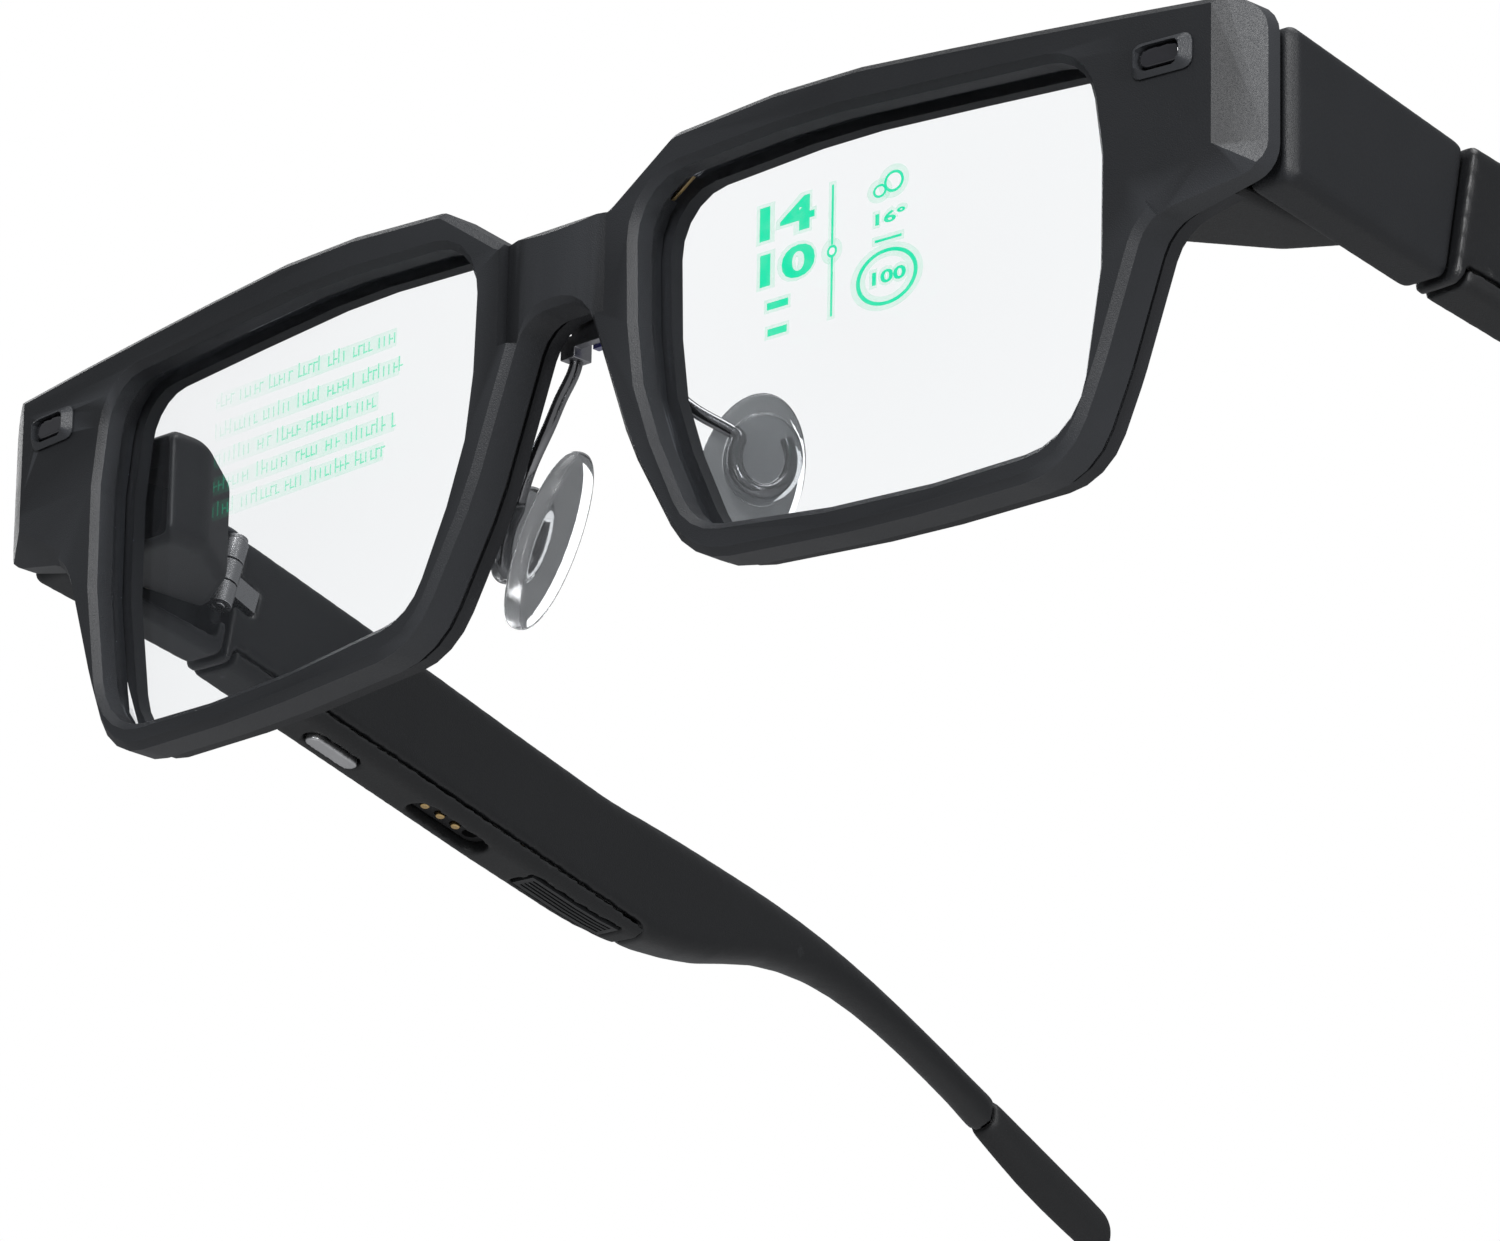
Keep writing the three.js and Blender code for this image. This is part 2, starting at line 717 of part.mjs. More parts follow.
// ---------------------------------------------------------------- temples
// [along, top, bottom, thickness, corner radius]
const templeStations = [
  [templeStart, templeTop, templeBottom, templeThickness, 0.9],
  [28, templeTop - 0.35, templeBottom - 0.05, templeThickness + 0.2, 1.0],
  [templeStraight, templeTop - 0.75, templeBottom - 0.05, templeThickness, 1.1],
  [templeStraight + 9, templeTop - 0.05, templeBottom + 0.75, templeThickness - 0.2, 1.4],
  [templeStraight + 17, templeTop + 0.5, templeBottom + 2.7, templeThickness - 0.6, 1.6],
  [templeStraight + 26, templeTop + 0.9, templeBottom + 6.5, templeThickness - 1.1, 1.7],
  [neckStart, templeTop + 0.7, templeBottom + 8.25, templeThickness - 1.4, 1.7],
  [neckStart + 9, templeTop - 0.3, templeBottom + 8.2, templeThickness - 1.6, 1.6],
  [neckStart + 22, templeTop - 2.6, templeBottom + 6.1, templeThickness - 1.6, 1.6],
  [neckStart + 34, templeTop - 4.8, templeBottom + 2.7, templeThickness - 1.7, 1.6],
  [templeLength - 4, templeTop - 6.4, templeBottom + 1.1, templeThickness - 1.9, 1.5],
  [templeLength, templeTop - 7.3, templeBottom + 0.6, templeThickness - 2.1, 1.4],
];

// Runs smoothly through the stations; no value overshoots between two of them.
function templeAt(along) {
  const last = templeStations.length - 2;
  const found = templeStations.findIndex((station, k) => k > 0 && along <= station[0]) - 1;
  const i = THREE.MathUtils.clamp(found < 0 ? last : found, 0, last);
  const [a, b] = [templeStations[i], templeStations[i + 1]];
  const t = (along - a[0]) / (b[0] - a[0]);
  const slope = (k, j) => {
    const before = templeStations[Math.max(k - 1, 0)];
    const after = templeStations[Math.min(k + 1, last + 1)];
    return (after[j] - before[j]) / (after[0] - before[0]);
  };
  const span = b[0] - a[0];
  return a.map((_, j) => {
    const ends = a[j] * (2 * t ** 3 - 3 * t ** 2 + 1) + b[j] * (3 * t ** 2 - 2 * t ** 3);
    return ends + span * (slope(i, j) * (t ** 3 - 2 * t ** 2 + t) + slope(i + 1, j) * (t ** 3 - t ** 2));
  });
}

function templeRing(along, shrink) {
  const [, top, bottom, thickness, corner] = templeAt(along);
  const w = (thickness / 2) * shrink;
  const h = ((top - bottom) / 2) * shrink;
  const x = templeInner + templeThickness / 2;
  const z = (top + bottom) / 2;
  const r = Math.min(corner * shrink, w * 0.98, h * 0.98);
  const ring = rounded([[-w, -h, r], [w, -h, r], [w, h, r], [-w, h, r]], 30);
  return ring.map((p) => new THREE.Vector3(x + p.x, along, z + p.y)).reverse();
}

function templeBody() {
  const rings = [];
  const stops = [templeStart, 15, 28, 40, templeStraight];
  for (let along = templeStraight + 3; along < templeLength - 2; along += 3.8) stops.push(along);
  for (const along of stops) rings.push(templeRing(along, 1));
  const nose = 2;
  for (const angle of [0, 30, 55, 75]) {
    const turn = THREE.MathUtils.degToRad(angle);
    rings.push(templeRing(templeLength - nose + nose * Math.sin(turn), Math.cos(turn)));
  }
  return loft(rings);
}

const wholeTemple = templeBody();
const templeOuter = templeInner + templeThickness;
const coverTop = templeBottom + coverThickness;
const coverStart = templeStart + 1.3;
const pocketStart = templeStart + 1.1;
const middle = templeInner + templeThickness / 2;

function coreTube(radius, from) {
  const points = [];
  for (let along = from; along < templeLength - 5; along += 6) {
    const [, top, bottom] = templeAt(along);
    points.push(new THREE.Vector3(middle, along, (top + bottom) / 2));
  }
  return tube(points, radius, points.length * 2, 8);
}

const coreBore = coreTube(coreRadius + clearance, coverEnd - 1);
const core = coreTube(coreRadius, coverEnd + 4);
const farBelow = -9 * beyond;

function templeShell() {
  const upTo = box(-beyond * 3, beyond * 5, 0, sleeveStart, farBelow, -farBelow);
  const roomEnds = [coverStart - clearance, coverEnd + clearance];
  const coverRoom = box(-beyond, beyond * 5, ...roomEnds, farBelow, coverTop + clearance);
  const walls = [templeInner + templeWall, templeOuter - templeWall];
  const pocket = box(...walls, pocketStart, coverEnd, farBelow, pocketTop);
  const armHalf = knuckleHeight / 2 + clearance;
  const slotEnd = armEnd + clearance;
  const armSlot = box(-beyond, leafX + leafThickness + clearance, 0, slotEnd, -armHalf, armHalf);
  const stepSlot = box(-beyond, walls[0] + 0.1, pocketStart, slotEnd, -armHalf, armHalf);
  return wholeTemple.intersect(upTo).subtract(coverRoom).subtract(pocket)
    .subtract(leant(armSlot)).subtract(leant(stepSlot)).subtract(coreBore);
}

function tipSleeve() {
  const ends = [sleeveStart + clearance, templeLength + beyond];
  const room = box(-beyond * 3, beyond * 5, ...ends, farBelow, -farBelow);
  return wholeTemple.intersect(room).subtract(coreBore);
}

function stadium(length, width, along, from, to) {
  return moved(prismZ(slotOutline(length, width), from, to), middle, along, 0);
}

const grilleFront = templeBottom + 0.7;
function grilleBox(extra) {
  const half = grilleWidth / 2 + extra;
  const across = [middle - half, middle + half];
  return box(...across, grilleStart - extra, grilleEnd + extra, farBelow, grilleFront + extra * 4);
}

function templeCover(side) {
  const strip = box(-beyond, beyond * 5, coverStart, coverEnd, farBelow, coverTop);
  const plain = wholeTemple.intersect(strip).subtract(grilleBox(clearance));
  if (side > 0) return plain;
  return plain
    .subtract(stadium(buttonLength + clearance, buttonWidth + clearance, buttonAt, farBelow, beyond))
    .subtract(stadium(portLength, portWidth, portAt, farBelow, beyond));
}

function grille() {
  let plateBody = wholeTemple.intersect(grilleBox(0));
  const spacing = grilleWidth / (grilleSlots + 1);
  for (let i = 1; i <= grilleSlots; i++) {
    const x = middle - grilleWidth / 2 + i * spacing;
    const slit = [x - slitWidth / 2, x + slitWidth / 2, grilleStart + grilleRim, grilleEnd - grilleRim];
    plateBody = plateBody.subtract(box(...slit, farBelow, beyond));
  }
  return plateBody;
}

const innerFrom = templeInner + templeWall + clearance;
const boardFrom = templeOuter - templeWall - clearance - boardThickness;
const innerLow = coverTop + clearance * 2;
const innerTo = boardFrom - clearance;
// A rounded block between the temple's inner wall and its board.
function innerBlock(from, to, low, high, radius) {
  const corners = [[from, low, radius], [to, low, radius], [to, high, radius], [from, high, radius]];
  return prismX(rounded(corners, 30), innerFrom, innerTo, 0.3);
}

const speaker = innerBlock(grilleStart + 0.8, grilleEnd, innerLow, speakerTop, 0.8);
const cell = innerBlock(portAt - cellLength / 2, portAt + cellLength / 2, cellLow, boardTop, 1);

// ---------------------------------------------------------------- button and charging port
const buttonFlange = 0.5;
const flangeLow = coverTop + clearance / 2;
const flangeTop = flangeLow + buttonFlange;
const buttonLow = templeBottom - buttonProud;
const cap = stadium(buttonLength - clearance, buttonWidth - clearance, buttonAt, buttonLow, flangeTop);
const button = cap.add(stadium(buttonLength + 0.8, buttonWidth + 0.5, buttonAt, flangeLow, flangeTop));
const switchLow = flangeTop + buttonTravel + 0.1;
const board = box(boardFrom, boardFrom + boardThickness, 13, coverEnd - 2, switchLow + 0.2, boardTop);
const switchEnds = [buttonAt - 1.6, buttonAt + 1.6];
const buttonSwitch = box(innerFrom, innerTo, ...switchEnds, switchLow, switchLow + 1.3);

const portFloor = templeBottom + portDepth;
const portTop = coverTop + 0.6;
const contactFrom = portAt - portLength / 2 + 1.7;
function portInsert() {
  let insert = stadium(portLength - 2 * clearance, portWidth - 2 * clearance, portAt, portFloor, portTop);
  for (let i = 0; i < contactCount; i++) {
    insert = insert.subtract(contact(i, contactRadius + 0.15));
  }
  const magnetAt = portAt + portLength / 2 - 1.9;
  return insert.subtract(moved(cylinder(0.75, -beyond * 5, portFloor + 0.6), middle, magnetAt, 0));
}

function contact(i, radius) {
  const low = portFloor - 0.35;
  const high = radius > contactRadius ? beyond : portTop + 0.2;
  return moved(cylinder(radius, low, high, 16), middle, contactFrom + i * contactPitch, 0);
}

// ---------------------------------------------------------------- assembly
add(face, 'front_frame', bent(frontFrame()), finishes.frame);
add(face, 'rear_frame', bent(rearFrame()), finishes.dark);
const flex = plate(flexOutline(0), flexDepth, flexDepth + flexThickness);
add(face, 'brow_flex_cable', bent(flex), finishes.gold);
add(face, 'nose_bracket', bracket(), finishes.steel);
add(face, 'wear_sensor_window', wearWindow, finishes.trim);

const lensBlank = rounded(grown(lensCorners, lensSeatWidth - stackGap), 18);
const lens = bent(plate(lensBlank, lensFront, lensFront + lensThickness));
const guide = bent(plate(lensBlank, guideFront, guideFront + guideThickness));
const windowFront = 0.4 - sensorRise;
const windowOutline = rounded(windowCorners, 30);
const sensorWindow = bent(plate(windowOutline, windowFront, windowFront + windowThickness));
const moduleOutline = rounded(grown(moduleCorners, -clearance), 30);
const moduleBody = plate(moduleOutline, moduleFrom + clearance, moduleFrom + sensorModuleDepth);

for (const [name, side] of sides) {
  add(face, `${name}_lens`, lens, finishes.lens, side);
  add(face, `${name}_waveguide`, guide, finishes.lens, side);
  add(face, `${name}_sensor_window`, sensorWindow, finishes.dark, side);
  add(face, `${name}_sensor_module`, bent(moduleBody), finishes.board, side);
  add(face, `${name}_bracket_screw`, screw(), finishes.steel, side);
  add(face, `${name}_nose_wire`, tube(wirePoints(), wireRadius, 34, 6), finishes.wire, side);
  add(face, `${name}_nose_pad`, nosePad(), finishes.silicone, side);
  add(face, `${name}_end_housing`, housing(), finishes.shell, side);
  add(face, `${name}_engine_cover`, engineCover(), finishes.dark, side);
  add(face, `${name}_light_engine`, lightEngine(), finishes.steel, side);
  add(face, `${name}_coupling_prism`, couplingPrism(), finishes.lens, side);
  add(face, `${name}_engine_board`, engineBoard, finishes.board, side);

  const hinge = hingeGroup(side);
  face.add(hinge);
  add(hinge, `${name}_hinge_bracket`, leant(hingeFixed()), finishes.steel, side);
  add(hinge, `${name}_hinge_pin`, leant(hingePin()), finishes.steel, side);
  add(hinge, `${name}_hinge_leaf`, leant(hingeMoving()), finishes.steel, side);
  add(hinge, `${name}_temple_shell`, templeShell(), finishes.shell, side);
  add(hinge, `${name}_temple_cover`, templeCover(side), finishes.cover, side);
  add(hinge, `${name}_temple_core`, core, finishes.steel, side);
  add(hinge, `${name}_tip_sleeve`, tipSleeve(), finishes.rubber, side);
  add(hinge, `${name}_speaker_grille`, grille(), finishes.dark, side);
  add(hinge, `${name}_speaker`, speaker, finishes.dark, side);
  add(hinge, `${name}_battery_cell`, cell, finishes.cell, side);
  add(hinge, `${name}_temple_board`, board, finishes.board, side);
  if (side < 0) {
    add(hinge, 'power_button', button, finishes.steel, side);
    add(hinge, 'button_switch', buttonSwitch, finishes.dark, side);
    add(hinge, 'charging_port', portInsert(), finishes.dark, side);
    for (let i = 0; i < contactCount; i++) {
      add(hinge, `charging_contact_${i + 1}`, contact(i, contactRadius), finishes.gold, side);
    }
  }
}

// The glasses stand on the lowest point of rims and tips, with the origin under their middle.
glasses.updateMatrixWorld(true);
const bounds = new THREE.Box3().setFromObject(glasses, true);
const centre = bounds.getCenter(new THREE.Vector3());
face.position.set(-centre.x, -centre.y, -bounds.min.z);

export default glasses;
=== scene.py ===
import math
import random
import bpy
from mathutils import Matrix, Vector


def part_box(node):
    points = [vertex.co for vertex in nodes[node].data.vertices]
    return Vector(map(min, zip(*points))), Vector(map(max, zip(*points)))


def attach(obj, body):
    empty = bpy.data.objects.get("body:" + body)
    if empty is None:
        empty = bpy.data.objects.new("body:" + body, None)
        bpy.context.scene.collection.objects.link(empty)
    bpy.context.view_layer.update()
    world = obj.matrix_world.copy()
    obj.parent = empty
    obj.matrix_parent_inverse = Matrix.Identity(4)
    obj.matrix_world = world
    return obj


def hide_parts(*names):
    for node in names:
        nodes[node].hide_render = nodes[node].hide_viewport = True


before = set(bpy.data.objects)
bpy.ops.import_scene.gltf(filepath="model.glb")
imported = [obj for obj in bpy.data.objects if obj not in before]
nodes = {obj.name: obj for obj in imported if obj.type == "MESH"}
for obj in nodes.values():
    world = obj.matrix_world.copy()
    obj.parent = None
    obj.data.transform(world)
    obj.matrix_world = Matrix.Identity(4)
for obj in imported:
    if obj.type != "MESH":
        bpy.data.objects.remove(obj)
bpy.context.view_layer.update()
bpy.ops.object.select_all(action="DESELECT")

# ---------------------------------------------------------------- studio
# A white room with a pale floor far below, because the glasses are looked at from underneath.
# One soft box stands to the right, one before the end pieces, and two dim ones are overhead.
camera_data = bpy.data.cameras.new("camera")
camera = bpy.data.objects.new("camera", camera_data)
bpy.context.collection.objects.link(camera)
camera_data.sensor_width = 36.0
camera_data.lens = 240.94
camera_data.clip_start = 0.01
camera.matrix_world = Matrix((
    (0.72079, 0.21383, 0.65935, 0.53080),
    (0.69295, -0.24561, -0.67786, -0.59989),
    (0.01700, 0.94549, -0.32521, -0.25078),
    (0.0, 0.0, 0.0, 1.0),
))
bpy.context.scene.camera = camera
bpy.context.scene.view_settings.view_transform = "Standard"

world = bpy.data.worlds.new("studio")
bpy.context.scene.world = world
world.use_nodes = True
room = world.node_tree
backdrop = room.nodes["Background"]
backdrop.inputs["Color"].default_value = (1.0, 1.0, 1.0, 1.0)
backdrop.inputs["Strength"].default_value = 1.0
dim_room = room.nodes.new("ShaderNodeBackground")
dim_room.inputs["Color"].default_value = (0.95, 0.97, 1.0, 1.0)
dim_room.inputs["Strength"].default_value = 0.24
ray_kind = room.nodes.new("ShaderNodeLightPath")
seen_or_lit = room.nodes.new("ShaderNodeMixShader")
room.links.new(ray_kind.outputs["Is Camera Ray"], seen_or_lit.inputs[0])
room.links.new(dim_room.outputs[0], seen_or_lit.inputs[1])
room.links.new(backdrop.outputs[0], seen_or_lit.inputs[2])
room.links.new(seen_or_lit.outputs[0], room.nodes["World Output"].inputs["Surface"])


def soft_box(name, place, aim, size, power):
    light = bpy.data.lights.new(name, "AREA")
    light.shape = "RECTANGLE"
    light.size, light.size_y = size
    light.energy = power
    holder = bpy.data.objects.new(name, light)
    bpy.context.collection.objects.link(holder)
    turn = (Vector(aim) - Vector(place)).to_track_quat("-Z", "Y")
    holder.matrix_world = Matrix.Translation(place) @ turn.to_matrix().to_4x4()


soft_box("right_box", (1.10, -0.30, 0.05), (0.0, -0.06, 0.02), (0.30, 0.9), 7.0)
soft_box("front_box", (0.62, -1.02, 0.46), (0.06, -0.07, 0.03), (0.22, 0.5), 13.0)
soft_box("left_box", (-1.1, 0.5, 0.7), (0.0, -0.06, 0.02), (0.6, 0.6), 3.0)
soft_box("top_box", (0.1, 0.0, 1.0), (0.0, 0.0, 0.0), (0.7, 0.7), 6.0)

bpy.ops.mesh.primitive_plane_add(size=60.0, location=(0.0, 0.0, -1.6))
floor = bpy.context.object
floor.name = "floor"
bpy.ops.object.transform_apply(location=True, rotation=True, scale=True)
pale = bpy.data.materials.new("pale_floor")
pale.use_nodes = True
pale_shader = pale.node_tree.nodes["Principled BSDF"]
pale_shader.inputs["Base Color"].default_value = (0.92, 0.92, 0.93, 1.0)
pale_shader.inputs["Roughness"].default_value = 0.9
pale_shader.inputs["Emission Color"].default_value = (1.0, 1.0, 1.0, 1.0)
pale_shader.inputs["Emission Strength"].default_value = 0.12
floor.data.materials.append(pale)


# ---------------------------------------------------------------- front frame
# The moulded front: both rims, the bridge and the two end pieces in one satin black part.
# It is injection moulded: its edges have narrow flat chamfers and its skin a fine even grain.
class Value:
    """An output of a material's node that ordinary operators work on."""

    def __init__(self, paint, socket):
        self.paint = paint
        self.socket = socket

    def math(self, operation, *others):
        inputs = dict(enumerate((self, *others)))
        return self.paint.node("ShaderNodeMath", inputs, operation=operation)

    def __add__(self, other):
        return self.math("ADD", other)

    def __sub__(self, other):
        return self.math("SUBTRACT", other)

    def __mul__(self, other):
        return self.math("MULTIPLY", other)

    def __truediv__(self, other):
        return self.math("DIVIDE", other)

    def clamp(self, low, high):
        return self.math("MAXIMUM", low).math("MINIMUM", high)


class Paint:
    """A material being made; its one method adds a node and gives one of its outputs."""

    def __init__(self, name):
        self.material = bpy.data.materials.new(name)
        self.material.use_nodes = True
        self.tree = self.material.node_tree
        self.shader = self.tree.nodes["Principled BSDF"]

    def node(self, kind, inputs=None, output=0, **settings):
        made = self.shader if kind == "shader" else self.tree.nodes.new(kind)
        for key, value in settings.items():
            setattr(made, key, value)
        for key, value in (inputs or {}).items():
            if isinstance(value, Value):
                self.tree.links.new(value.socket, made.inputs[key])
            else:
                made.inputs[key].default_value = value
        return Value(self, made.outputs[output])


def moulded(name, colour, roughness, grain=0.00006, edge=0.35, specular=0.35):
    """Moulded plastic: cloudy colour, a fine grain, and smoother edges lightened by a painted
    highlight.
    """
    paint = Paint(name)
    place = paint.node("ShaderNodeTexCoord", output="Object")
    cloud = paint.node("ShaderNodeTexNoise", {"Vector": place, "Scale": 180.0, "Detail": 3.0})
    skin = paint.node("ShaderNodeTexNoise", {"Vector": place, "Scale": 9000.0, "Detail": 2.0})
    # Pointiness picks out the convex edges: they are painted lighter as a highlight, by the share
    # edge, and made a little smoother.
    edge_highlight_mask = paint.node("ShaderNodeNewGeometry", output="Pointiness")
    edge_highlight_mask = ((edge_highlight_mask - 0.52) * 14.0).clamp(0.0, 1.0)
    light = [min(1.0, c * 3.2 + 0.01) for c in colour]
    dark = [c * 0.86 for c in colour]
    mottled = {0: cloud, 6: (*dark, 1.0), 7: (*colour, 1.0)}
    base = paint.node("ShaderNodeMix", mottled, 2, data_type="RGBA")
    highlit_edges = {0: edge_highlight_mask * edge, 6: base, 7: (*light, 1.0)}
    tone = paint.node("ShaderNodeMix", highlit_edges, 2, data_type="RGBA")
    bump = {"Height": skin, "Distance": grain, "Strength": 0.6}
    paint.node("shader", {
        "Base Color": tone,
        "Roughness": (cloud * 0.10 + (roughness - 0.05)) - edge_highlight_mask * 0.08,
        "Normal": paint.node("ShaderNodeBump", bump),
        "Specular IOR Level": specular,
    })
    return paint.material


def finished_copy(name, node, voxel=0.0, passes=0, angle=30.0):
    """The CAD node as a new piece: merged, and with a voxel size also remeshed and smoothed."""
    piece = bpy.data.objects.new(name, nodes[node].data.copy())
    bpy.context.collection.objects.link(piece)
    bpy.ops.object.select_all(action="DESELECT")
    piece.select_set(True)
    bpy.context.view_layer.objects.active = piece
    bpy.ops.object.mode_set(mode="EDIT")
    bpy.ops.mesh.select_all(action="SELECT")
    bpy.ops.mesh.remove_doubles(threshold=0.000002)
    bpy.ops.mesh.customdata_custom_splitnormals_clear()
    bpy.ops.object.mode_set(mode="OBJECT")
    if voxel:
        remesh = piece.modifiers.new("remesh", "REMESH")
        remesh.mode = "VOXEL"
        remesh.voxel_size = voxel
        bpy.ops.object.modifier_apply(modifier="remesh")
        smooth = piece.modifiers.new("smooth", "SMOOTH")
        smooth.factor = 0.5
        smooth.iterations = passes
        bpy.ops.object.modifier_apply(modifier="smooth")
        bpy.ops.object.shade_smooth()
    else:
        bpy.ops.object.shade_smooth_by_angle(angle=math.radians(angle))
    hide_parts(node)
    return piece


def dress(piece, material):
    piece.data.materials.clear()
    piece.data.materials.append(material)


satin_black = moulded("satin_black", (0.0135, 0.0145, 0.0165), 0.46, edge=0.5, specular=0.32)
front = finished_copy("front_frame_moulding", "front_frame", angle=28.0)
dress(front, satin_black)
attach(front, "frame")

# ---------------------------------------------------------------- rear frame
# The flat ring clipped in from behind that holds the lens stacks against the front.
# Its finish is duller, and its colour darker than the front's as painted shade for its place behind
# the front and the lenses.
dull_black = moulded("dull_black", (0.010, 0.0105, 0.012), 0.58, specular=0.3)
rear = finished_copy("rear_frame_ring", "rear_frame", angle=35.0)
dress(rear, dull_black)
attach(rear, "frame")


# ---------------------------------------------------------------- lenses
# A clear outer lens with a waveguide plate behind it, both thin and coated against reflections.
# The waveguide has a faint patch of grating where the picture leaves it towards the eye.
def clear_plate(name, tint, haze, patch):
    paint = Paint(name)
    place = paint.node("ShaderNodeTexCoord", output="Object")
    moved = {"Vector": place, "Location": patch, "Scale": (40, 40, 60)}
    centred = paint.node("ShaderNodeMapping", moved)
    spread = paint.node("ShaderNodeTexGradient", {"Vector": centred}, 1, gradient_type="SPHERICAL")
    through = paint.node("ShaderNodeBsdfTransparent", {"Color": (*tint, 1.0)})
    gloss = paint.node("ShaderNodeBsdfGlossy", {"Color": (0.9, 0.93, 1.0, 1.0), "Roughness": 0.02})
    edge = paint.node("ShaderNodeFresnel", {"IOR": 1.18})
    share = edge * 0.25 + spread * haze
    both = paint.node("ShaderNodeMixShader", {0: share, 1: through, 2: gloss})
    paint.tree.links.new(both.socket, paint.tree.nodes["Material Output"].inputs["Surface"])
    paint.material.blend_method = "BLEND"
    return paint.material


glass_layers = (
    ("lens", (0.985, 0.987, 0.99), 0.0),
    ("waveguide", (0.975, 0.98, 0.982), 0.012),
)
for side, sign in (("left", 1), ("right", -1)):
    middle = (sign * -1.3, 2.9, -1.5)
    for node, tint, haze in glass_layers:
        plate = finished_copy(f"{side}_{node}_plate", f"{side}_{node}", angle=25.0)
        dress(plate, clear_plate(f"{side}_{node}_glass", tint, haze, middle))
        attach(plate, "frame")

# ---------------------------------------------------------------- display graphics
# What the light engines show: thin luminous shapes lying on the front of each lens.
# The clock's digits, line, cloud and charge ring are on one lens, rows of word shapes on the other.
face_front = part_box("front_frame")[0].y


def glow(name, alpha, fade=None):
    paint = Paint(name)
    place = paint.node("ShaderNodeTexCoord", output="Object")
    flicker = paint.node("ShaderNodeTexNoise", {"Vector": place, "Scale": 900.0})
    shown = flicker * 0.2 + (alpha - 0.1)
    if fade:
        parts = paint.node("ShaderNodeSeparateXYZ", {"Vector": place})
        across = ((parts - fade[0]) / fade[1]).clamp(0.0, 1.0)
        shown = shown * across
    paint.node("shader", {
        "Base Color": (0.0, 0.0, 0.0, 1.0),
        "Emission Color": (0.013, 0.80, 0.43, 1.0),
        "Emission Strength": 1.0,
        "Specular IOR Level": 0.0,
        "Alpha": shown.clamp(0.0, 1.0),
    })
    paint.material.blend_method = "BLEND"
    return paint.material


def laid_on_lens(shape, name, depth, material):
    """Turns flat shapes drawn in X and Z to the lens, bent as it is, in front of it by depth."""
    bpy.ops.object.select_all(action="DESELECT")
    shape.select_set(True)
    bpy.context.view_layer.objects.active = shape
    if shape.type != "MESH":
        bpy.ops.object.convert(target="MESH")
        shape = bpy.context.object
    bpy.ops.object.transform_apply(location=True, rotation=True, scale=True)
    for vertex in shape.data.vertices:
        bend = vertex.co.x ** 2 / 1.2
        vertex.co.y = face_front + 0.0022 - depth + bend
    shape.name = name
    dress(shape, material)
    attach(shape, "frame")
    return shape


def digits(name, text, x, z, width, height, fat, depth, material):
    bpy.ops.object.text_add(location=(0.0, 0.0, 0.0), rotation=(math.pi / 2, 0.0, 0.0))
    shape = bpy.context.object
    shape.data.body = text
    shape.data.align_x = "CENTER"
    shape.data.align_y = "CENTER"
    shape.data.offset = fat
    shape.data.resolution_u = 4
    bpy.context.view_layer.update()
    wide, tall = shape.dimensions.x, shape.dimensions.y
    shape.scale = (width / wide, height / tall, 1.0)
    shape.location = (x, 0.0, z)
    return laid_on_lens(shape, name, depth, material)


def ring(name, x, z, radius, squeeze, thickness, depth, material):
    bpy.ops.mesh.primitive_circle_add(vertices=64, radius=radius, rotation=(math.pi / 2, 0.0, 0.0))
    shape = bpy.context.object
    bpy.ops.object.mode_set(mode="EDIT")
    bpy.ops.mesh.extrude_region_move()
    inner = (radius - thickness) / radius
    bpy.ops.transform.resize(value=(inner, inner, inner))
    bpy.ops.object.mode_set(mode="OBJECT")
    shape.scale = (1.0, squeeze, 1.0)
    shape.location = (x, 0.0, z)
    return laid_on_lens(shape, name, depth, material)


def bar(name, x, z, width, height, depth, material):
    upright = (math.pi / 2, 0.0, 0.0)
    bpy.ops.mesh.primitive_plane_add(size=1.0, location=(x, 0.0, z), rotation=upright)
    shape = bpy.context.object
    shape.scale = (width, height, 1.0)
    bpy.ops.object.mode_set(mode="EDIT")
    bpy.ops.mesh.bevel(offset=0.3 * height, segments=3, affect="VERTICES")
    bpy.ops.object.mode_set(mode="OBJECT")
    return laid_on_lens(shape, name, depth, material)


bright = glow("display_green", 0.95)
halo = glow("display_halo", 0.2)
lens_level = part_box("front_frame")[1].z - 0.0067
core_fat = 0.03
growth = 0.008
text_shapes = (
    ("clock_hours", "14", 0.0229, 0.00345, 0.0057, 0.00285),
    ("clock_minutes", "10", 0.0230, 0.00735, 0.0057, 0.00275),
    ("degrees", "16°", 0.0339, 0.0058, 0.0030, 0.0010),
    ("charge", "100", 0.0338, 0.01066, 0.0034, 0.0011),
)
ring_shapes = (
    ("charge_ring", 0.0338, 0.01066, 0.0031, 0.75, 0.0004, 2),
    ("divider_knob", 0.0282, 0.00724, 0.00052, 1.0, 0.00022, 1),
    ("cloud_big", 0.0344, 0.0029, 0.0010, 0.9, 0.00026, 1),
    ("cloud_small", 0.0330, 0.0034, 0.0007, 0.8, 0.00024, 1),
)
bar_shapes = (
    ("divider", 0.0282, 0.0042, 0.00022, 0.0050),
    ("divider_low", 0.0282, 0.0102, 0.00022, 0.0049),
    ("dash", 0.0339, 0.00754, 0.0027, 0.00022),
    ("weekday", 0.02265, 0.0103, 0.0022, 0.0006),
    ("date", 0.02265, 0.0125, 0.0020, 0.0006),
)
for layer, fat, depth, light in (("core", core_fat, 0.0001, bright), ("halo", 0.10, 0.00013, halo)):
    wider = (fat - core_fat) * growth
    for name, text, x, drop, width, height in text_shapes:
        size = (width + wider, height + wider)
        digits(f"{name}_{layer}", text, x, lens_level - drop, *size, fat, depth, light)
    for name, x, drop, radius, squeeze, line, share in ring_shapes:
        shape = (radius + wider, squeeze, line + share * wider)
        ring(f"{name}_{layer}", x, lens_level - drop, *shape, depth, light)
    for name, x, drop, width, height in bar_shapes:
        size = (width + wider, height + wider)
        bar(f"{name}_{layer}", x, lens_level - drop, *size, depth, light)

